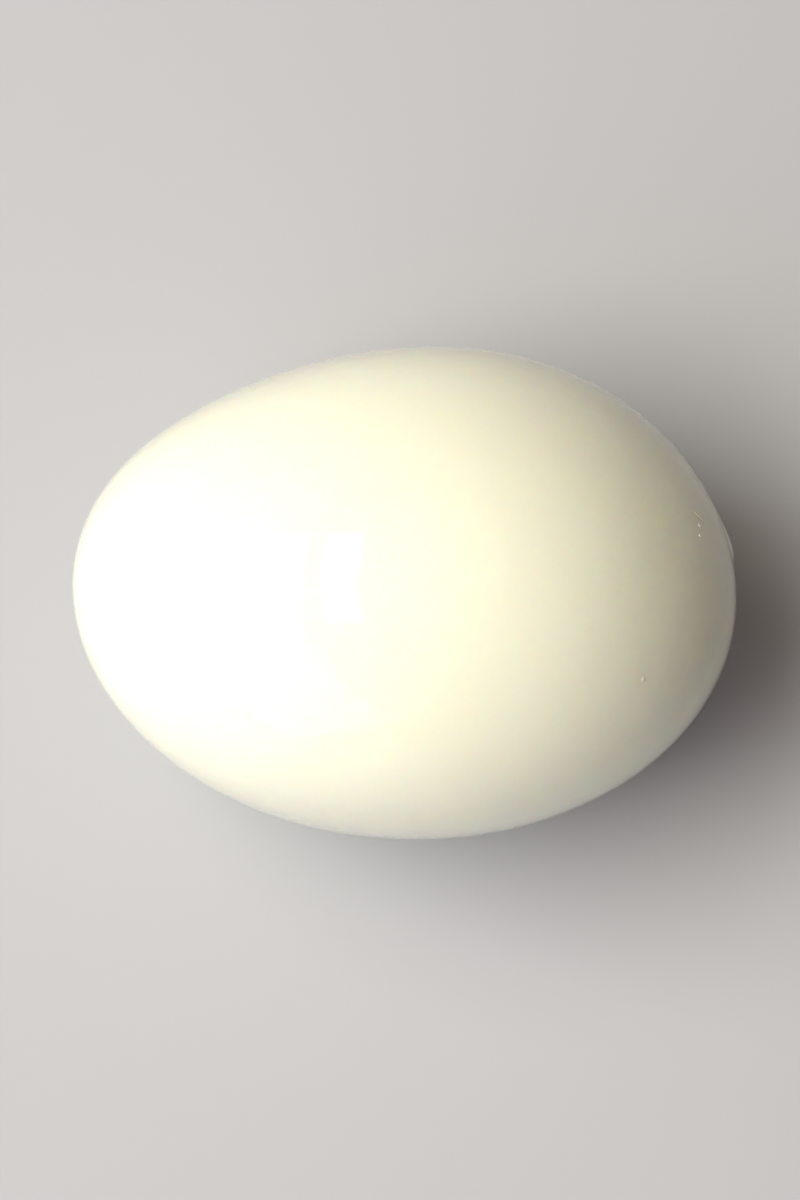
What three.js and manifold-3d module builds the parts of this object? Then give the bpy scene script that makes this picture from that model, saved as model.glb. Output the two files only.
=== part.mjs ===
// Peeled hard-boiled egg, whole, lying on its side: one solid piece of food.
// Millimetres, +Z up. The pointed end is at -X, the blunt end at +X, and z = 0 is
// the small flat spot that the egg rests on.
import * as THREE from 'three';
import { mergeVertices } from 'three/addons/utils/BufferGeometryUtils.js';
import Module from 'manifold-3d';

const wasm = await Module();
wasm.setup();

// Whole egg, tip to tip and across its widest part
const eggLength = 56;
const eggBreadth = 41.4;

// Ovoid: share of breadth gained towards the blunt end, and how much the tips give back
const bluntGain = 0.065;
const tipLoss = 0.024;

// Unevenness seen from above: how the middle line bends, as an S and as a slight bow
const tipSway = 1.16;
const shoulderSway = 0.46;
const endBow = 0.15;

// Air cell: the shallow dish that the bubble under the shell leaves near the blunt end
const airCellRadius = 6.8;
const airCellDepth = 0.8;
const airCellRim = 0.3; // depth over which the rim is rounded
const airCellReach = 15.5; // from the dish back to where its axis meets the long axis
const airCellTurn = 29; // degrees from +X towards +Y
const airCellRise = -21; // degrees up from the long axis

// Flat spot where the soft white settles under its own weight
const footDepth = 0.4;

// Fineness of the surface
const aroundSteps = 72;
const lengthSteps = 44;
const profileSteps = 2000;

const whiteMaterial = new THREE.MeshStandardMaterial({
  color: 0xf3efd9,
  roughness: 0.22,
  metalness: 0,
});

// Radius of the round section at a place along the egg: -1 is the pointed tip, 1 the blunt one.
function sectionRadius(along) {
  const fullness = 1 + bluntGain * along - tipLoss * along ** 3;
  return (eggBreadth / 2) * Math.sqrt(Math.max(0, 1 - along * along)) * fullness;
}

// Angle by which the blunt end lies higher, so that the centre of mass is over the lowest point.
function restTilt() {
  const places = Array.from({ length: profileSteps }, (_, i) => (2 * i + 1) / profileSteps - 1);
  const profile = places.map((along) => ({ x: (eggLength / 2) * along, r: sectionRadius(along) }));
  const volume = profile.reduce((sum, p) => sum + p.r * p.r, 0);
  const massX = profile.reduce((sum, p) => sum + p.x * p.r * p.r, 0) / volume;
  const reach = (p) => Math.hypot(p.x - massX, p.r);
  const contact = profile.reduce((best, p) => (reach(p) < reach(best) ? p : best));
  return Math.atan2(massX - contact.x, contact.r);
}

// Moves a point of the unit sphere, whose poles lie on X, onto the egg.
function placeOnEgg(point) {
  const along = THREE.MathUtils.clamp(point.x, -1, 1);
  const side = Math.hypot(point.y, point.z);
  const radius = side > 0 ? sectionRadius(along) / side : 0;
  const sway = shoulderSway * along + endBow * along ** 2 - tipSway * along ** 3;
  point.set((eggLength / 2) * along, point.y * radius + sway, point.z * radius);
}

// The higher of two numbers, with their meeting rounded over the given difference.
function softMaximum(a, b, rounding) {
  const overlap = Math.max(rounding - Math.abs(a - b), 0) / rounding;
  return Math.max(a, b) + (overlap * overlap * rounding) / 4;
}

const airCellCentre = new THREE.Vector3(eggLength / 2 - airCellReach, 0, 0);
const airCellAxis = new THREE.Vector3(1, 0, 0)
  .applyAxisAngle(new THREE.Vector3(0, 1, 0), -THREE.MathUtils.degToRad(airCellRise))
  .applyAxisAngle(new THREE.Vector3(0, 0, 1), THREE.MathUtils.degToRad(airCellTurn));

// Presses a point in where it lies over the air cell.
function pressAirCell(point) {
  const arm = point.clone().sub(airCellCentre);
  const height = arm.dot(airCellAxis);
  if (height > 0) {
    const out = arm.addScaledVector(airCellAxis, -height).length() / airCellRadius;
    const press = softMaximum(airCellDepth * (1 - out * out), 0, airCellRim);
    point.addScaledVector(airCellAxis, -press);
  }
}

// Changes every vertex of a geometry by a function of its point.
function movePoints(geometry, move) {
  const position = geometry.attributes.position;
  const point = new THREE.Vector3();
  for (let i = 0; i < position.count; i += 1) {
    point.fromBufferAttribute(position, i);
    move(point);
    position.setXYZ(i, point.x, point.y, point.z);
  }
}

function eggBody() {
  const body = new THREE.SphereGeometry(1, aroundSteps, lengthSteps);
  body.rotateZ(-Math.PI / 2);
  movePoints(body, placeOnEgg);
  movePoints(body, pressAirCell);
  body.rotateY(-restTilt());
  return body;
}

// Closed geometry to manifold solid and back
function toSolid(geometry) {
  const bare = geometry.clone();
  bare.deleteAttribute('normal');
  bare.deleteAttribute('uv');
  const merged = mergeVertices(bare, 1e-5);
  return new wasm.Manifold(new wasm.Mesh({
    numProp: 3,
    vertProperties: new Float32Array(merged.attributes.position.array),
    triVerts: new Uint32Array(merged.index.array),
  }));
}

function toGeometry(solid) {
  const mesh = solid.getMesh();
  const geometry = new THREE.BufferGeometry();
  geometry.setAttribute('position', new THREE.BufferAttribute(mesh.vertProperties, 3));
  geometry.setIndex(new THREE.BufferAttribute(mesh.triVerts, 1));
  geometry.computeVertexNormals();
  return geometry;
}

// Cuts the lowest part off, level, and leaves the flat spot at z = 0 under the middle of the egg.
function settleOnFoot(body) {
  body.computeBoundingBox();
  const footHeight = body.boundingBox.min.z + footDepth;
  const block = new THREE.BoxGeometry(eggLength, eggLength, eggLength);
  block.translate(0, 0, footHeight - eggLength / 2);
  const settled = toGeometry(toSolid(body).subtract(toSolid(block)));
  settled.center();
  settled.computeBoundingBox();
  settled.translate(0, 0, -settled.boundingBox.min.z);
  return settled;
}

const egg = new THREE.Mesh(settleOnFoot(eggBody()), whiteMaterial);
egg.name = 'boiled_egg';

const model = new THREE.Group();
model.add(egg);

export default model;
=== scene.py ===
# Peeled hard-boiled egg, whole, lying on its side on a pale floor.
# Metres, +Z up. Pointed end at -X, blunt end with the air cell at +X.
import math

import bpy
from mathutils import Euler, Matrix, Vector


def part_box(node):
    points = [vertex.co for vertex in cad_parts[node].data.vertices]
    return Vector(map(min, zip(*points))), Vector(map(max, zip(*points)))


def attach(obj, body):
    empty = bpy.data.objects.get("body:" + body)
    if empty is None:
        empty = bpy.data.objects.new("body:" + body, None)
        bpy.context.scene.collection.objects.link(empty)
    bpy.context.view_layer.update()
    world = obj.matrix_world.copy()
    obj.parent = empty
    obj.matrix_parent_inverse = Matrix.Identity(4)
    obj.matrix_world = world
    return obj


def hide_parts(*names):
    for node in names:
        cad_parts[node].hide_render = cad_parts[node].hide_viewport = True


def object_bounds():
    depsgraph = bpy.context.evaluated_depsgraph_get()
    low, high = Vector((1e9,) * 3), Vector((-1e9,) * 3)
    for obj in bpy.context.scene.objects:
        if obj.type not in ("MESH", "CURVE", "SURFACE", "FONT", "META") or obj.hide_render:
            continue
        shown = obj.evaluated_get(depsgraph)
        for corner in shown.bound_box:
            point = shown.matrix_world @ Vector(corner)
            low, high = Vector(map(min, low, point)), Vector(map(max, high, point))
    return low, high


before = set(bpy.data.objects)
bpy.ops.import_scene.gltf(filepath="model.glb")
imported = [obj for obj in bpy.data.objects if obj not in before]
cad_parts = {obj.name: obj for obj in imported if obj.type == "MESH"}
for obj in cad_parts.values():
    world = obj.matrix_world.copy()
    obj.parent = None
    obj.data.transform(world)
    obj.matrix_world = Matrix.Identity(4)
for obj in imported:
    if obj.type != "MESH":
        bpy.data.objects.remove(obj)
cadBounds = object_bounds()
cadMiddle = (cadBounds[0] + cadBounds[1]) / 2
mm = 0.001
zAxis = (0.0, 0.0, 1.0)

# Helpers for building node trees


def socketOf(tree, value, target):
    # joins a socket, or sets a plain number or vector
    if isinstance(value, bpy.types.NodeSocket):
        tree.links.new(value, target)
    else:
        target.default_value = value


def calc(tree, operation, *values):
    node = tree.nodes.new("ShaderNodeMath")
    node.operation = operation
    for place, value in enumerate(values):
        socketOf(tree, value, node.inputs[place])
    return node.outputs[0]


def add(tree, *values):
    result = values[0]
    for value in values[1:]:
        result = calc(tree, "ADD", result, value)
    return result


def times(tree, *values):
    result = values[0]
    for value in values[1:]:
        result = calc(tree, "MULTIPLY", result, value)
    return result


def minus(tree, a, b):
    return calc(tree, "SUBTRACT", a, b)


def vectorCalc(tree, operation, *values):
    node = tree.nodes.new("ShaderNodeVectorMath")
    node.operation = operation
    for place, value in enumerate(values):
        socketOf(tree, value, node.inputs["Scale" if operation == "SCALE" and place else place])
    return node.outputs["Value" if operation in ("DOT_PRODUCT", "LENGTH") else "Vector"]


def pointAlong(tree, start, direction, distance):
    return vectorCalc(tree, "ADD", start, vectorCalc(tree, "SCALE", direction, distance))


def turnedFrom(tree, first, second, angle):
    # the first direction turned towards the second, which is square to it
    start = vectorCalc(tree, "SCALE", first, calc(tree, "COSINE", angle))
    return pointAlong(tree, start, second, calc(tree, "SINE", angle))


def roundAxis(tree, axis):
    # the directions square to the axis, one as far uphill as it goes and one sideways
    overAxis = vectorCalc(tree, "SUBTRACT", zAxis, vectorCalc(tree, "PROJECT", zAxis, axis))
    uphill = vectorCalc(tree, "NORMALIZE", overAxis)
    return uphill, vectorCalc(tree, "CROSS_PRODUCT", axis, uphill)


def combine(tree, x, y, z):
    node = tree.nodes.new("ShaderNodeCombineXYZ")
    for place, value in enumerate((x, y, z)):
        socketOf(tree, value, node.inputs[place])
    return node.outputs[0]


def separate(tree, vector):
    node = tree.nodes.new("ShaderNodeSeparateXYZ")
    tree.links.new(vector, node.inputs[0])
    return node.outputs


def liveSocket(sockets, label):
    # some nodes keep a socket of the same name for each kind of value
    return next(socket for socket in sockets if socket.name == label and socket.enabled)


def randomValue(tree, kind, low, high, seed):
    node = tree.nodes.new("FunctionNodeRandomValue")
    node.data_type = kind
    for label, value in (("Min", low), ("Max", high), ("Seed", seed)):
        socketOf(tree, value, liveSocket(node.inputs, label))
    return liveSocket(node.outputs, "Value")


def noise(tree, vector, scale, detail=2.0, roughness=0.5):
    # scale is per metre, the result runs from 0 to 1
    node = tree.nodes.new("ShaderNodeTexNoise")
    tree.links.new(vector, node.inputs["Vector"])
    socketOf(tree, scale, node.inputs["Scale"])
    socketOf(tree, detail, node.inputs["Detail"])
    socketOf(tree, roughness, node.inputs["Roughness"])
    return node.outputs[0]


def noiseRoundZero(tree, vector, scale, amount, detail=2.0):
    return times(tree, minus(tree, noise(tree, vector, scale, detail), 0.5), amount)


def softMaximum(tree, a, b, rounding):
    # the higher of two numbers, with their meeting rounded
    gap = calc(tree, "ABSOLUTE", minus(tree, a, b))
    overlap = calc(tree, "MAXIMUM", minus(tree, rounding, gap), 0.0)
    lift = calc(tree, "DIVIDE", times(tree, overlap, overlap), times(tree, rounding, 4.0))
    return add(tree, calc(tree, "MAXIMUM", a, b), lift)


def positionOf(tree):
    return tree.nodes.new("GeometryNodeInputPosition").outputs[0]


def movePoints(tree, geometry, position):
    node = tree.nodes.new("GeometryNodeSetPosition")
    tree.links.new(geometry, node.inputs["Geometry"])
    tree.links.new(position, node.inputs["Position"])
    return node.outputs[0]


def smallBall(tree, radius):
    ball = tree.nodes.new("GeometryNodeMeshUVSphere")
    ball.inputs["Segments"].default_value = 16
    ball.inputs["Rings"].default_value = 12
    ball.inputs["Radius"].default_value = radius
    return ball.outputs["Mesh"]


def boxOf(tree, geometry):
    node = tree.nodes.new("GeometryNodeBoundBox")
    tree.links.new(geometry, node.inputs[0])
    return node.outputs["Min"], node.outputs["Max"]


def turnGeometry(tree, geometry, rotation):
    node = tree.nodes.new("GeometryNodeTransform")
    tree.links.new(geometry, node.inputs["Geometry"])
    node.inputs["Rotation"].default_value = rotation
    return node.outputs[0]


def newRuleTree(name, settings):
    # a rule with one named input for each size; whole numbers get whole-number inputs
    tree = bpy.data.node_groups.new(name, "GeometryNodeTree")
    kinds = {int: "NodeSocketInt", float: "NodeSocketFloat", tuple: "NodeSocketVector"}
    tree.interface.new_socket("Geometry", in_out="OUTPUT", socket_type="NodeSocketGeometry")
    tree.interface.new_socket("Geometry", in_out="INPUT", socket_type="NodeSocketGeometry")
    for label, value in settings.items():
        tree.interface.new_socket(label, in_out="INPUT", socket_type=kinds[type(value)])
    tree.interface.new_socket("material", in_out="INPUT", socket_type="NodeSocketMaterial")
    return tree, tree.nodes.new("NodeGroupInput").outputs


def finishRuleTree(tree, geometry, material):
    realize = tree.nodes.new("GeometryNodeRealizeInstances")
    smooth = tree.nodes.new("GeometryNodeSetShadeSmooth")
    setMaterial = tree.nodes.new("GeometryNodeSetMaterial")
    out = tree.nodes.new("NodeGroupOutput")
    tree.links.new(geometry, realize.inputs[0])
    tree.links.new(realize.outputs[0], smooth.inputs[0])
    tree.links.new(smooth.outputs[0], setMaterial.inputs["Geometry"])
    tree.links.new(material, setMaterial.inputs["Material"])
    tree.links.new(setMaterial.outputs[0], out.inputs[0])


def growPiece(name, tree, settings, material, startMesh=None):
    # runs the rule once and keeps its result as a plain mesh
    piece = bpy.data.objects.new(name, startMesh or bpy.data.meshes.new(name + "Start"))
    bpy.context.collection.objects.link(piece)
    modifier = piece.modifiers.new("rule", "NODES")
    modifier.node_group = tree
    values = dict(settings, material=material)
    for item in tree.interface.items_tree:
        if item.item_type == "SOCKET" and item.in_out == "INPUT" and item.name in values:
            modifier[item.identifier] = values[item.name]
    graph = bpy.context.evaluated_depsgraph_get()
    mesh = bpy.data.meshes.new_from_object(piece.evaluated_get(graph), depsgraph=graph)
    piece.modifiers.remove(modifier)
    piece.data = mesh
    mesh.name = name
    print(name, "made,", len(mesh.polygons), "faces")
    return piece


def newMaterial(name):
    material = bpy.data.materials.new(name)
    material.use_nodes = True
    tree = material.node_tree
    place = tree.nodes.new("ShaderNodeTexCoord").outputs["Object"]
    return material, tree, tree.nodes["Principled BSDF"], place


def mixedColour(tree, share, colourA, colourB):
    mix = tree.nodes.new("ShaderNodeMix")
    mix.data_type = "RGBA"
    tree.links.new(share, mix.inputs["Factor"])
    mix.inputs["A"].default_value = colourA
    mix.inputs["B"].default_value = colourB
    return mix.outputs["Result"]


# Egg white: moist, glossy, a little translucent

whiteLook = {
    "ivory": (0.925, 0.908, 0.718, 1.0),
    "paler": (0.940, 0.928, 0.752, 1.0),
    "cloudScale": 55.0,        # per metre, so clouds about 18 mm apart
    "cloudDetail": 3.0,
    "cloudRoughness": 0.55,
    "scatter": 1.0,
    "scatterDepth": 1.6 * mm,
    "scatterShares": (1.0, 0.72, 0.42),   # of that depth for red, green and blue
    "smoothest": 0.055,        # roughness where the surface is wettest
    "dullest": 0.095,
    "dampScale": 130.0,        # damp patches about 8 mm apart
    "dampDetail": 3.0,
    "waveScale": 420.0,        # soft waves about 2.4 mm apart
    "waveHeight": 0.036 * mm,
    "waveDetail": 1.0,
    "grainScale": 2600.0,      # and a grain of about 0.4 mm
    "grainHeight": 0.0005 * mm,
    "refraction": 1.37,
    "coat": 0.35,              # a film of water
    "coatRoughness": 0.03,
    "coatRefraction": 1.33,
}


def eggWhiteMaterial():
    look = whiteLook
    material, tree, shader, place = newMaterial("eggWhite")

    clouds = noise(tree, place, look["cloudScale"], look["cloudDetail"], look["cloudRoughness"])
    colour = mixedColour(tree, clouds, look["ivory"], look["paler"])
    tree.links.new(colour, shader.inputs["Base Color"])

    damp = noise(tree, place, look["dampScale"], look["dampDetail"])
    patches = times(tree, damp, look["dullest"] - look["smoothest"])
    tree.links.new(add(tree, patches, look["smoothest"]), shader.inputs["Roughness"])

    waves = noise(tree, place, look["waveScale"], look["waveDetail"])
    grain = noise(tree, place, look["grainScale"])
    height = add(tree, times(tree, waves, look["waveHeight"]), times(tree, grain, look["grainHeight"]))
    bump = tree.nodes.new("ShaderNodeBump")
    bump.inputs["Distance"].default_value = 1.0   # the heights are in metres already
    tree.links.new(height, bump.inputs["Height"])
    tree.links.new(bump.outputs[0], shader.inputs["Normal"])

    shader.inputs["IOR"].default_value = look["refraction"]
    shader.inputs["Subsurface Weight"].default_value = look["scatter"]
    shader.inputs["Subsurface Radius"].default_value = look["scatterShares"]
    shader.inputs["Subsurface Scale"].default_value = look["scatterDepth"]
    shader.inputs["Coat Weight"].default_value = look["coat"]
    shader.inputs["Coat Roughness"].default_value = look["coatRoughness"]
    shader.inputs["Coat IOR"].default_value = look["coatRefraction"]
    return material


# Egg body: an ovoid worked out from its length, breadth and a few gains

eggBody = {
    "length": 56.0 * mm,
    "breadth": 41.4 * mm,
    "bluntGain": 0.065,        # breadth gained towards the blunt end
    "tipLoss": 0.024,          # and given back at the tips
    "tipSway": 1.16 * mm,      # S-bend of the middle line
    "shoulderSway": 0.46 * mm,
    "endBow": 0.15 * mm,
    "cellRadius": 6.8 * mm,    # air cell dish near the blunt end
    "cellDepth": 0.8 * mm,
    "cellRim": 0.3 * mm,
    "cellReach": 15.5 * mm,    # from the blunt tip back to where its axis starts
    "cellTurn": math.radians(29),
    "cellRise": math.radians(-21),
    "lipWidth": 0.40 * mm,     # low uneven lip round the dish
    "lipHeight": 0.05 * mm,
    "lipPatches": 260.0,       # per metre, so patches about 4 mm apart
    "foldWidth": 0.60 * mm,    # a small fold just outside it
    "foldHeight": 0.25 * mm,
    "foldOffset": 0.60 * mm,
    "foldStart": math.radians(0),   # as angles round the dish from its highest side
    "foldTop": math.radians(39),
    "foldEnd": math.radians(48),
    "waver": 0.16 * mm,        # slow unevenness of the whole surface, 16 mm apart
    "waverScale": 62.0,
    "ripple": 0.030 * mm,      # and a finer one, 5 mm apart
    "rippleScale": 190.0,
    "unevenDetail": 1.0,
    "footDepth": 0.4 * mm,
    "footRounding": 0.25 * mm,
    "crowding": 0.72,          # spacing of points at the blunt end, 1 for even spacing
    "cubePoints": 119,         # points along each edge of the cube that becomes the egg
}


def sectionRadius(along):
    body = eggBody
    fullness = 1 + body["bluntGain"] * along - body["tipLoss"] * along**3
    return body["breadth"] / 2 * math.sqrt(max(0.0, 1 - along * along)) * fullness


def restTilt():
    # the blunt end lies higher, so that the centre of mass is over the lowest point
    steps = 2000
    places = [(2 * step + 1) / steps - 1 for step in range(steps)]
    profile = [(eggBody["length"] / 2 * along, sectionRadius(along)) for along in places]
    volume = sum(r * r for x, r in profile)
    massX = sum(x * r * r for x, r in profile) / volume
    lowX, lowR = min(profile, key=lambda point: math.hypot(point[0] - massX, point[1]))
    return math.atan2(massX - lowX, lowR)


def crowdedBall(tree, cubePosition, crowding):
    # cube to ball with squares of nearly equal size, then drawn closer round the +X pole
    spread = vectorCalc(tree, "TANGENT", vectorCalc(tree, "SCALE", cubePosition, math.pi / 4))
    x, y, z = separate(tree, vectorCalc(tree, "NORMALIZE", spread))
    near = add(tree, x, 1.0)
    far = times(tree, minus(tree, 1.0, x), times(tree, crowding, crowding))
    share = calc(tree, "DIVIDE", times(tree, crowding, 2.0), add(tree, near, far))
    newX = calc(tree, "DIVIDE", minus(tree, near, far), add(tree, near, far))
    return combine(tree, newX, times(tree, y, share), times(tree, z, share))


def ovoidPlace(tree, ball, given):
    along, side, up = separate(tree, ball)
    squared = times(tree, along, along)
    cubed = times(tree, squared, along)
    gain = times(tree, along, given["bluntGain"])
    loss = times(tree, cubed, given["tipLoss"])
    fullness = minus(tree, add(tree, gain, 1.0), loss)
    halfBreadth = times(tree, given["breadth"], 0.5, fullness)
    halfLength = times(tree, given["length"], 0.5)
    shoulders = times(tree, along, given["shoulderSway"])
    tips = times(tree, cubed, given["tipSway"])
    bend = add(tree, minus(tree, shoulders, tips), times(tree, squared, given["endBow"]))
    return combine(
        tree,
        times(tree, along, halfLength),
        add(tree, times(tree, side, halfBreadth), bend),
        times(tree, up, halfBreadth),
    )


def rampUp(tree, value, start, end):
    # 0 before the start, 1 past the end, smooth between
    node = tree.nodes.new("ShaderNodeMapRange")
    node.interpolation_type = "SMOOTHSTEP"
    for label, given in (("Value", value), ("From Min", start), ("From Max", end)):
        socketOf(tree, given, node.inputs[label])
    return node.outputs["Result"]


def bell(tree, distance, width):
    share = calc(tree, "DIVIDE", distance, width)
    return calc(tree, "EXPONENT", times(tree, share, share, -1.0))


def cellFrame(tree, given):
    # where the air cell's axis starts and which way it points
    level = calc(tree, "COSINE", given["cellRise"])
    axis = combine(
        tree,
        times(tree, level, calc(tree, "COSINE", given["cellTurn"])),
        times(tree, level, calc(tree, "SINE", given["cellTurn"])),
        calc(tree, "SINE", given["cellRise"]),
    )
    halfLength = times(tree, given["length"], 0.5)
    centre = combine(tree, minus(tree, halfLength, given["cellReach"]), 0.0, 0.0)
    return centre, axis


def pressAirCell(tree, place, given):
    # a shallow dish pressed in along its own axis, with a low uneven lip round it
    centre, axis = cellFrame(tree, given)
    arm = vectorCalc(tree, "SUBTRACT", place, centre)
    height = vectorCalc(tree, "DOT_PRODUCT", arm, axis)
    outward = vectorCalc(tree, "SUBTRACT", arm, vectorCalc(tree, "SCALE", axis, height))
    distance = vectorCalc(tree, "LENGTH", outward)
    share = calc(tree, "DIVIDE", distance, given["cellRadius"])
    bowl = times(tree, given["cellDepth"], minus(tree, 1.0, times(tree, share, share)))
    press = softMaximum(tree, bowl, 0.0, given["cellRim"])
    offRim = minus(tree, distance, given["cellRadius"])
    patches = times(tree, noise(tree, place, given["lipPatches"]), 2.0, given["lipHeight"])

    uphill, sideways = roundAxis(tree, axis)
    rightwards = vectorCalc(tree, "DOT_PRODUCT", arm, sideways)
    upwards = vectorCalc(tree, "DOT_PRODUCT", arm, uphill)
    around = calc(tree, "ARCTAN2", rightwards, upwards)
    climb = rampUp(tree, around, given["foldStart"], given["foldTop"])
    drop = rampUp(tree, around, given["foldTop"], given["foldEnd"])
    fold = times(tree, minus(tree, climb, drop), given["foldHeight"])

    ridge = times(tree, bell(tree, offRim, given["lipWidth"]), patches)
    offFold = minus(tree, offRim, given["foldOffset"])
    lip = add(tree, ridge, times(tree, bell(tree, offFold, given["foldWidth"]), fold))
    front = calc(tree, "GREATER_THAN", height, 0.0)
    rise = times(tree, minus(tree, lip, press), front)
    return pointAlong(tree, place, axis, rise)


def unevenness(tree, place, given):
    detail = given["unevenDetail"]
    slow = noiseRoundZero(tree, place, given["waverScale"], given["waver"], detail)
    fine = noiseRoundZero(tree, place, given["rippleScale"], given["ripple"], detail)
    return add(tree, slow, fine)


def settle(tree, geometry, given):
    # tilted to its resting lie, then down on a soft flat spot, middle over the origin
    tilted = turnGeometry(tree, geometry, (0.0, -restTilt(), 0.0))
    low, high = (separate(tree, corner) for corner in boxOf(tree, tilted))
    x, y, z = separate(tree, positionOf(tree))
    footHeight = add(tree, low[2], given["footDepth"])
    place = combine(
        tree,
        minus(tree, x, times(tree, add(tree, low[0], high[0]), 0.5)),
        minus(tree, y, times(tree, add(tree, low[1], high[1]), 0.5)),
        softMaximum(tree, minus(tree, z, footHeight), 0.0, given["footRounding"]),
    )
    return movePoints(tree, tilted, place)


def eggBodyTree():
    tree, given = newRuleTree("eggBodyRule", eggBody)
    cube = tree.nodes.new("GeometryNodeMeshCube")
    cube.inputs["Size"].default_value = (2.0, 2.0, 2.0)   # from -1 to 1, as the ball is
    for label in ("Vertices X", "Vertices Y", "Vertices Z"):
        tree.links.new(given["cubePoints"], cube.inputs[label])
    ball = crowdedBall(tree, positionOf(tree), given["crowding"])
    ovoid = ovoidPlace(tree, ball, given)
    dished = pressAirCell(tree, ovoid, given)
    swell = vectorCalc(tree, "SCALE", ball, unevenness(tree, ovoid, given))
    shaped = movePoints(tree, cube.outputs["Mesh"], vectorCalc(tree, "ADD", dished, swell))
    finishRuleTree(tree, settle(tree, shaped, given), given["material"])
    return tree


def makeEgg(white):
    egg = growPiece("eggWhiteBody", eggBodyTree(), eggBody, white)
    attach(egg, "root")
    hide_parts("boiled_egg")
    return egg


# Thin skin: what is too slight to let light spread inside, in the same white

skinLook = {
    "colour": (0.93, 0.906, 0.72, 1.0),
    "mottleScale": 900.0,
    "mottle": 0.05,
    "roughness": 0.12,
    "refraction": 1.37,
}


def thinSkinMaterial():
    look = skinLook
    material, tree, shader, place = newMaterial("thinSkin")
    shade = tree.nodes.new("ShaderNodeHueSaturation")
    shade.inputs["Color"].default_value = look["colour"]
    mottle = noiseRoundZero(tree, place, look["mottleScale"], look["mottle"])
    tree.links.new(add(tree, mottle, 1.0), shade.inputs["Value"])
    tree.links.new(shade.outputs[0], shader.inputs["Base Color"])
    shader.inputs["Roughness"].default_value = look["roughness"]
    shader.inputs["IOR"].default_value = look["refraction"]
    return material


def landOnEgg(tree, egg, centre, outward, far):
    # where a ray from far out towards the centre meets the egg, and the egg's normal there
    ray = tree.nodes.new("GeometryNodeRaycast")
    tree.links.new(egg, ray.inputs["Target Geometry"])
    tree.links.new(pointAlong(tree, centre, outward, far), ray.inputs["Source Position"])
    tree.links.new(vectorCalc(tree, "SCALE", outward, -1.0), ray.inputs["Ray Direction"])
    return ray.outputs["Hit Position"], ray.outputs["Hit Normal"]


def middleOf(tree, geometry):
    low, high = boxOf(tree, geometry)
    return vectorCalc(tree, "SCALE", vectorCalc(tree, "ADD", low, high), 0.5)


def pointsAt(tree, count, place):
    points = tree.nodes.new("GeometryNodePoints")
    tree.links.new(count, points.inputs["Count"])
    tree.links.new(place, points.inputs["Position"])
    return points.outputs[0]


def copiesOn(tree, points, shape, normal, along, size):
    # copies of the shape with its Z on the normal and its X towards the given direction
    turn = tree.nodes.new("FunctionNodeAxesToRotation")
    tree.links.new(normal, turn.inputs["Primary Axis"])
    tree.links.new(along, turn.inputs["Secondary Axis"])
    copies = tree.nodes.new("GeometryNodeInstanceOnPoints")
    tree.links.new(points, copies.inputs["Points"])
    tree.links.new(shape, copies.inputs["Instance"])
    tree.links.new(turn.outputs[0], copies.inputs["Rotation"])
    tree.links.new(size, copies.inputs["Scale"])
    return copies.outputs[0]


# Blisters: tiny smooth bumps in the skin, one on the upper side and a few more underneath

blisters = {
    "firstTowards": (20.0, -9.7, 13.2),   # the upper one, as seen from the middle of the egg
    "firstRadius": 0.27 * mm,
    "count": 14,
    "seed": 5,
    "othersFrom": (-1.0, -1.0, -1.0),     # the others, anywhere between these directions
    "othersTo": (1.0, 1.0, -0.25),
    "smallest": 0.16 * mm,
    "largest": 0.34 * mm,
    "steepness": 0.20,                    # height for each unit of radius
    "sunk": 0.35,                         # and depth below the surface
    "far": 80.0 * mm,                     # outside the egg, where the rays start
}


def buttonShape(tree, steepness, sunk):
    # closed and one unit in radius: bell-shaped above, a shallow bowl below
    x, y, z = separate(tree, positionOf(tree))
    squared = add(tree, times(tree, x, x), times(tree, y, y))
    room = calc(tree, "MAXIMUM", minus(tree, 1.0, squared), 0.0)
    above = times(tree, room, room, steepness)
    below = times(tree, room, sunk, -1.0)
    upper = calc(tree, "GREATER_THAN", z, 0.0)
    height = add(tree, times(tree, upper, above), times(tree, minus(tree, 1.0, upper), below))
    return movePoints(tree, smallBall(tree, 1.0), combine(tree, x, y, height))


def blisterTree():
    tree, given = newRuleTree("blisterRule", blisters)
    index = tree.nodes.new("GeometryNodeInputIndex").outputs[0]
    first = calc(tree, "LESS_THAN", index, 1.0)
    rest = minus(tree, 1.0, first)
    below = randomValue(tree, "FLOAT_VECTOR", given["othersFrom"], given["othersTo"], given["seed"])
    chosen = vectorCalc(tree, "SCALE", vectorCalc(tree, "NORMALIZE", given["firstTowards"]), first)
    outward = pointAlong(tree, chosen, vectorCalc(tree, "NORMALIZE", below), rest)
    egg = given["Geometry"]
    place, normal = landOnEgg(tree, egg, middleOf(tree, egg), outward, given["far"])
    size = randomValue(tree, "FLOAT", given["smallest"], given["largest"], given["seed"])
    radius = add(tree, times(tree, first, given["firstRadius"]), times(tree, rest, size))
    points = pointsAt(tree, given["count"], place)
    button = buttonShape(tree, given["steepness"], given["sunk"])
    buttons = copiesOn(tree, points, button, normal, outward, combine(tree, radius, radius, radius))
    finishRuleTree(tree, buttons, given["material"])
    return tree


def makeBlisters(egg, skin):
    piece = growPiece("skinBlisters", blisterTree(), blisters, skin, egg.data.copy())
    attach(piece, "root")


# Shreds: thin slivers of skin that lie along circles round the air cell, three above it,
# each shorter than the one before, and the others round its hidden side

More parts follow.
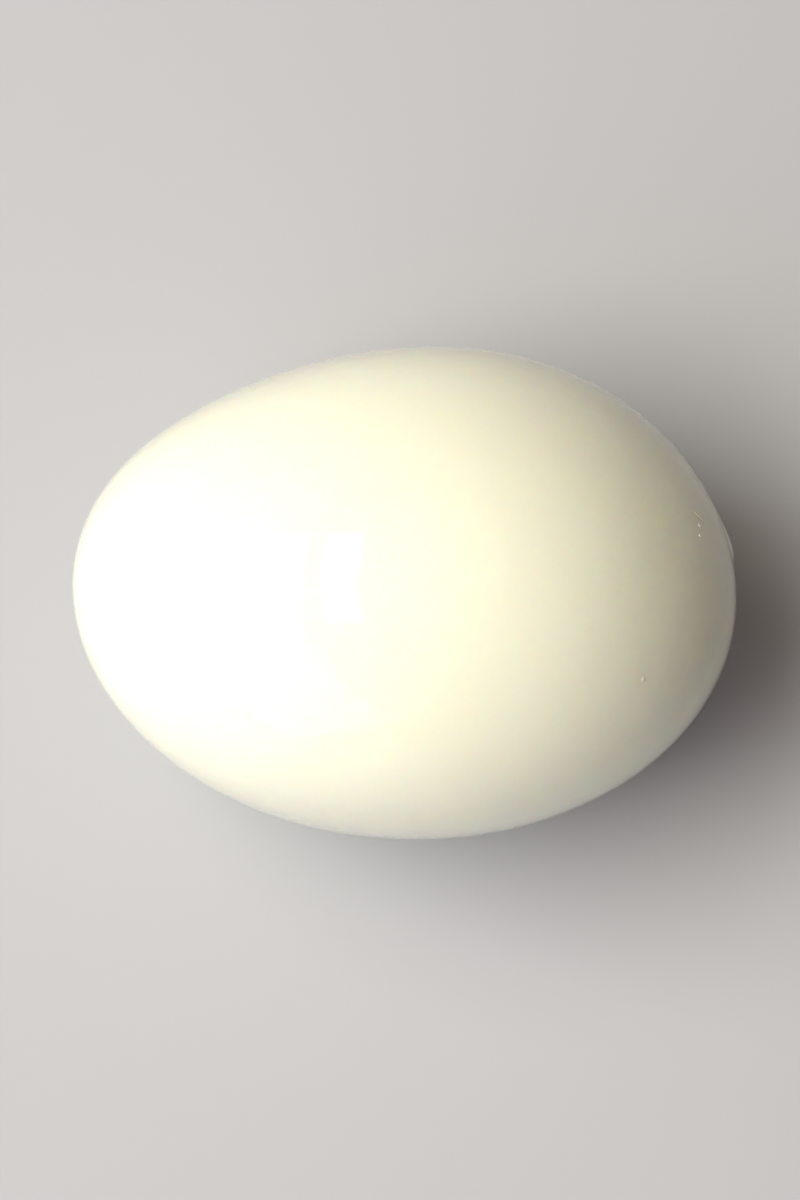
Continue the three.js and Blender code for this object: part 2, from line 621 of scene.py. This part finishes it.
shreds = {
    "near": 3,
    "nearAround": math.radians(7.5),   # from the highest side of the air cell
    "nearAway": math.radians(54),      # from its axis
    "nearTwist": math.radians(-45),    # out of the circle
    "aroundStep": math.radians(3),
    "awayStep": math.radians(2.4),
    "nearLength": 1.6 * mm,
    "shortening": 1.9,                 # of the next ones
    "count": 13,
    "seed": 11,
    "aroundFrom": math.radians(75),
    "aroundTo": math.radians(285),
    "closest": math.radians(27),
    "furthest": math.radians(46),
    "shortest": 0.5 * mm,
    "longest": 1.3 * mm,
    "twist": math.radians(20),
    "width": 0.27 * mm,
    "thickness": 0.17 * mm,
    "sideBend": 1.2,                   # in widths, one length out from the middle
    "downBend": 0.75,                  # and in thicknesses
    "far": 40.0 * mm,                  # outside the egg, where the rays start
}


def sliverShape(tree, given):
    # one unit long, wide and thick, bent sideways and down over the egg
    lyingBall = turnGeometry(tree, smallBall(tree, 0.5), (0.0, math.pi / 2, 0.0))
    x, y, z = separate(tree, positionOf(tree))
    squared = times(tree, x, x)
    across = add(tree, y, times(tree, squared, given["sideBend"]))
    height = minus(tree, z, times(tree, squared, given["downBend"]))
    return movePoints(tree, lyingBall, combine(tree, x, across, height))


def shredTree():
    settings = dict(shreds, cellCentre=(0.0, 0.0, 0.0), cellAxis=zAxis)
    tree, given = newRuleTree("shredRule", settings)
    index = tree.nodes.new("GeometryNodeInputIndex").outputs[0]
    near = calc(tree, "LESS_THAN", index, given["near"])

    def nearOr(nearValue, low, high, seedShift):
        # the given value for the first ones, a random one for the others
        seed = add(tree, given["seed"], seedShift)
        value = randomValue(tree, "FLOAT", low, high, seed)
        return add(tree, times(tree, near, nearValue), times(tree, minus(tree, 1.0, near), value))

    nearAround = add(tree, given["nearAround"], times(tree, index, given["aroundStep"]))
    nearAway = add(tree, given["nearAway"], times(tree, index, given["awayStep"]))
    shortened = add(tree, times(tree, index, given["shortening"]), 1.0)
    nearLength = calc(tree, "DIVIDE", given["nearLength"], shortened)
    around = nearOr(nearAround, given["aroundFrom"], given["aroundTo"], 0.0)
    away = nearOr(nearAway, given["closest"], given["furthest"], 1.0)
    length = nearOr(nearLength, given["shortest"], given["longest"], 2.0)
    twist = nearOr(given["nearTwist"], times(tree, given["twist"], -1.0), given["twist"], 3.0)

    axis = given["cellAxis"]
    uphill, sideways = roundAxis(tree, axis)
    outward = turnedFrom(tree, axis, turnedFrom(tree, uphill, sideways, around), away)
    place, normal = landOnEgg(tree, given["Geometry"], given["cellCentre"], outward, given["far"])
    size = combine(tree, length, given["width"], given["thickness"])
    level = vectorCalc(tree, "NORMALIZE", vectorCalc(tree, "CROSS_PRODUCT", axis, normal))
    across = vectorCalc(tree, "CROSS_PRODUCT", level, normal)
    along = turnedFrom(tree, level, across, twist)
    points = pointsAt(tree, given["count"], place)
    slivers = copiesOn(tree, points, sliverShape(tree, given), normal, along, size)
    finishRuleTree(tree, slivers, given["material"])
    return tree


def makeShreds(egg, skin):
    # the air cell's axis in the egg's resting lie
    lie = Matrix.Rotation(-restTilt(), 3, "Y")
    low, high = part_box("boiled_egg")
    middle = (Vector(low) + Vector(high)) / 2
    reach = Vector((eggBody["length"] / 2 - eggBody["cellReach"], 0.0, 0.0))
    turn = Euler((0.0, -eggBody["cellRise"], eggBody["cellTurn"])).to_matrix()
    axis = turn @ Vector((1.0, 0.0, 0.0))
    settings = dict(shreds, cellCentre=tuple(middle + lie @ reach), cellAxis=tuple(lie @ axis))
    piece = growPiece("skinShreds", shredTree(), settings, skin, egg.data.copy())
    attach(piece, "root")


# Floor that rises into a low pale wall all round; the wall's extra paleness over the floor is painted
# light for a backdrop the lamps hardly reach

stageLook = {
    "floorColour": (0.48, 0.486, 0.497, 1.0),
    # the wall's paler colour is painted light for a backdrop the lamps hardly reach
    "wallPaintedLightColour": (0.74, 0.745, 0.755, 1.0),
    "paintedLightFrom": 0.10,          # height at which the wall has its full colour, painted paler than the floor as painted light
    "roughness": 0.6,
    "floorRadius": 1.6,
    "bendRadius": 0.22,
    "wallHeight": 0.32,
    "aroundSteps": 96,
    "bendSteps": 12,
}


def stageMaterial():
    look = stageLook
    material, tree, shader, place = newMaterial("paleStage")
    # up the wall the floor's colour turns into the paler one, which is painted light
    share = rampUp(tree, separate(tree, place)[2], 0.0, look["paintedLightFrom"])
    colour = mixedColour(tree, share, look["floorColour"], look["wallPaintedLightColour"])
    tree.links.new(colour, shader.inputs["Base Color"])
    shader.inputs["Roughness"].default_value = look["roughness"]
    return material


def makeStage():
    look = stageLook
    floorRadius = look["floorRadius"]
    bendRadius = look["bendRadius"]
    profile = [(floorRadius, 0.0)]
    for step in range(1, look["bendSteps"] + 1):
        angle = math.pi / 2 * step / look["bendSteps"]
        outwards = bendRadius * math.sin(angle)
        profile.append((floorRadius + outwards, bendRadius * (1 - math.cos(angle))))
    profile.append((floorRadius + bendRadius, look["wallHeight"]))
    count = look["aroundSteps"]
    points = [(0.0, 0.0, 0.0)]
    for radius, height in profile:
        for step in range(count):
            angle = 2 * math.pi * step / count
            points.append((radius * math.cos(angle), radius * math.sin(angle), height))
    faces = [(0, 1 + step, 1 + (step + 1) % count) for step in range(count)]
    for ring in range(len(profile) - 1):
        for step in range(count):
            a = 1 + ring * count + step
            b = 1 + ring * count + (step + 1) % count
            faces.append((a, a + count, b + count, b))
    mesh = bpy.data.meshes.new("stageFloor")
    mesh.from_pydata(points, [], faces)
    mesh.shade_smooth()
    floor = bpy.data.objects.new("stageFloor", mesh)
    bpy.context.collection.objects.link(floor)
    mesh.materials.append(stageMaterial())
    print("stage made")


# Camera nearly straight above, as one looks down on a thing in the hand

cameraView = {
    "elevation": math.radians(80),
    "distance": 0.300,
    "lens": 106.7,             # millimetres, as the sensor's width
    "sensorWidth": 36.0,
    "aside": (-0.27 * mm, -0.63 * mm),
}
viewRight = Vector((1, 0, 0))
viewUp = Vector((0, math.sin(cameraView["elevation"]), math.cos(cameraView["elevation"])))
towardsViewer = viewRight.cross(viewUp)


def makeCamera():
    view = cameraView
    target = cadMiddle + viewRight * view["aside"][0] + viewUp * view["aside"][1]
    data = bpy.data.cameras.new("camera")
    data.lens = view["lens"]
    data.sensor_width = view["sensorWidth"]
    camera = bpy.data.objects.new("camera", data)
    camera.location = target + towardsViewer * view["distance"]
    camera.rotation_euler = Euler((math.pi / 2 - view["elevation"], 0, 0))
    bpy.context.collection.objects.link(camera)
    bpy.context.scene.camera = camera
    print("camera made")


# Soft boxes hung round the line of sight: two side by side give the tall bright panes
# seen in the white, the key shapes the body and isn't mirrored in it, the others fill in.
# Angles are in degrees from the line of sight, left and up as the viewer sees them.

softBoxes = {
    "narrowPane": {
        "left": (19.8, 28.0),
        "up": (-11.4, 28.7),
        "radiance": 5.9,
        "colour": (1.0, 1.0, 1.0),
        "mirrored": True,
    },
    "widePane": {
        "left": (34.5, 62.0),
        "up": (-12.5, 30.0),
        "radiance": 5.8,
        "colour": (1.0, 1.0, 1.0),
        "mirrored": True,
    },
    "keyBox": {
        "left": (16.0, 36.0),
        "up": (-15.0, 40.0),
        "radiance": 5.4,
        "colour": (1.0, 0.955, 0.845),
        "mirrored": False,
    },
    "lowBox": {
        "left": (34.5, 64.5),
        "up": (-60.0, -12.5),
        "radiance": 1.9,
        "colour": (0.88, 0.84, 1.0),
        "mirrored": True,
    },
    "overBox": {
        "left": (-20.0, 20.0),
        "up": (-12.0, 42.0),
        "radiance": 0.58,
        "colour": (1.0, 0.74, 0.60),
        "mirrored": True,
    },
}
boxDistance = 1.2
boxLean = math.radians(4)      # the whole set turned about the line of sight


def hangLamp(name, place, facing, up, size, look):
    # a rectangle of light; a lamp shines along its own -Z, so facing points to its back
    width, height = size
    sideways = up.cross(facing).normalized()
    data = bpy.data.lights.new(name, "AREA")
    data.shape = "RECTANGLE"
    data.size = width
    data.size_y = height
    data.energy = look["radiance"] * math.pi * width * height   # watts
    data.color = look["colour"]
    lamp = bpy.data.objects.new(name, data)
    turn = Matrix((sideways, facing.cross(sideways), facing)).transposed().to_4x4()
    lamp.matrix_world = Matrix.Translation(place) @ turn
    lamp.visible_camera = False
    lamp.visible_glossy = look["mirrored"]
    bpy.context.collection.objects.link(lamp)


def towards(left, up):
    flat = towardsViewer * math.cos(left) - viewRight * math.sin(left)
    return flat * math.cos(up) + viewUp * math.sin(up)


def makeSoftBox(name, box):
    spans = [[math.radians(angle) for angle in box[side]] for side in ("left", "up")]
    lean = Matrix.Rotation(boxLean, 3, towardsViewer)
    facing = lean @ towards(*(sum(span) / 2 for span in spans))
    size = [2 * boxDistance * math.tan((end - start) / 2) for start, end in spans]
    hangLamp(name, cadMiddle + facing * boxDistance, facing, lean @ viewUp, size, box)


# A long lamp for the wall behind the panes, which gets no light from them

wallLamp = {
    "place": (-0.95, 0.0, 0.50),
    "aim": (-1.80, 0.0, 0.20),
    "size": (2.2, 0.35),
    "radiance": 3.6,
    "colour": (1.0, 1.0, 1.0),
    "mirrored": True,
}


def makeWallLamp():
    place = Vector(wallLamp["place"])
    facing = (place - Vector(wallLamp["aim"])).normalized()
    hangLamp("wallLamp", place, facing, Vector(zAxis), wallLamp["size"], wallLamp)


def makeLights():
    for name, box in softBoxes.items():
        makeSoftBox(name, box)
    makeWallLamp()
    room = bpy.data.worlds.new("darkRoom")
    room.use_nodes = True
    room.node_tree.nodes["Background"].inputs["Strength"].default_value = 0.0
    bpy.context.scene.world = room
    bpy.context.scene.view_settings.view_transform = "Standard"
    print("lights made")


makeCamera()
egg = makeEgg(eggWhiteMaterial())
thinSkin = thinSkinMaterial()
makeBlisters(egg, thinSkin)
makeShreds(egg, thinSkin)
makeStage()
makeLights()
